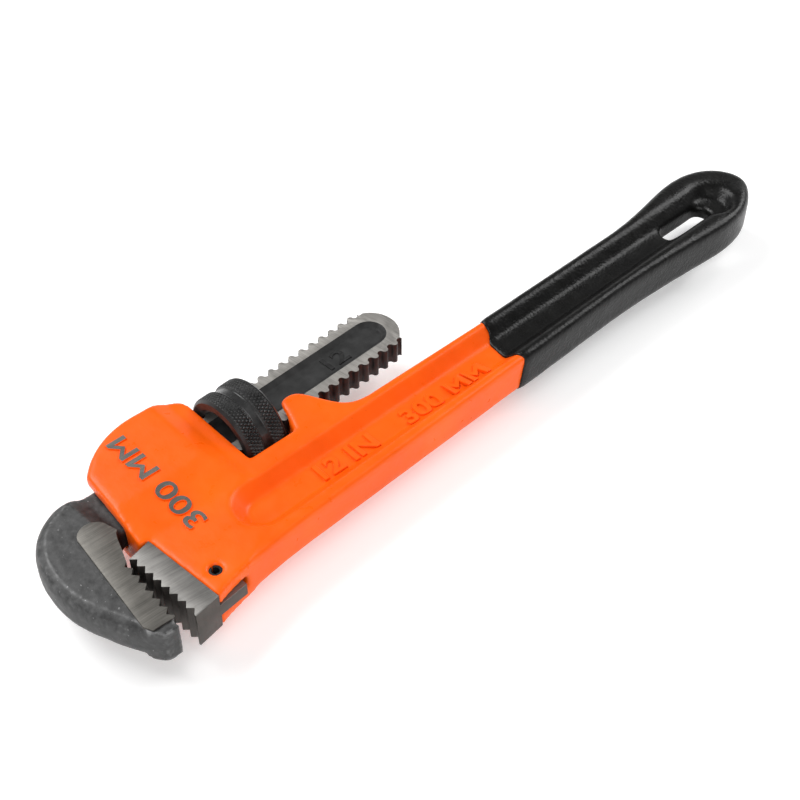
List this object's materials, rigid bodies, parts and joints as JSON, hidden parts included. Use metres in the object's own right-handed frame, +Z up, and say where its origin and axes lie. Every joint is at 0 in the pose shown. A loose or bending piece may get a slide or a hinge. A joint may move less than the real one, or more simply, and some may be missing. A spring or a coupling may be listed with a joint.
{
  "type": "pipe wrench",
  "caption": "Straight pipe wrench with an I-beam handle, a dipped grip, a threaded hook jaw that slides through the head, a knurled adjusting nut and a replaceable heel jaw.",
  "frame": {"origin": "bottom centre of the box round the whole wrench, lying flat with the jaws closed", "axes": "+X along the handle from the head to the hanging hole, +Y from the handle towards the nut and shank side, +Z up, square to the wrench's flat faces"},
  "size_m": [0.292, 0.0728, 0.0294],
  "materials": {
    "orange_enamel": "gloss",
    "black_vinyl": "satin",
    "ground_steel": "ground",
    "forged_steel": "forged",
    "blackened_steel": "satin",
    "spring_steel": "satin"
  },
  "bodies": {
    "housing": {"handle_housing": "orange_enamel", "grip": "black_vinyl", "heel_jaw": "ground_steel", "heel_jaw_pin": "blackened_steel", "coil_spring": "spring_steel"},
    "rocker": {"leaf_spring": "spring_steel", "spring_rivet": "spring_steel"},
    "hook": {"hook_jaw": "forged_steel"},
    "nut": {"adjusting_nut": "blackened_steel"}
  },
  "joints": [
    {"name": "jaw_rock", "type": "hinge", "parent": "housing", "child": "rocker", "pos_m": [-0.06668, 0.01644, 0.0147], "axis": [0, 0, 1], "range_deg": [-4, 0], "stiffness_Nm_per_rad": 3, "springref_deg": 6.88, "deforming": ["coil_spring"]},
    {"name": "jaw_travel", "type": "slide", "parent": "rocker", "child": "hook", "axis": [-0.999, -0.0436, 0], "range_m": [-0.0004, 0.042]},
    {"name": "nut_spin", "type": "hinge", "parent": "rocker", "child": "nut", "pos_m": [-0.06668, 0.01644, 0.0147], "axis": [0.999, 0.0436, 0], "range_deg": [-60, 3450]}
  ],
  "couplings": [
    {"joint": "nut_spin", "follows": "jaw_travel", "rad_per_m": 1428}
  ]
}
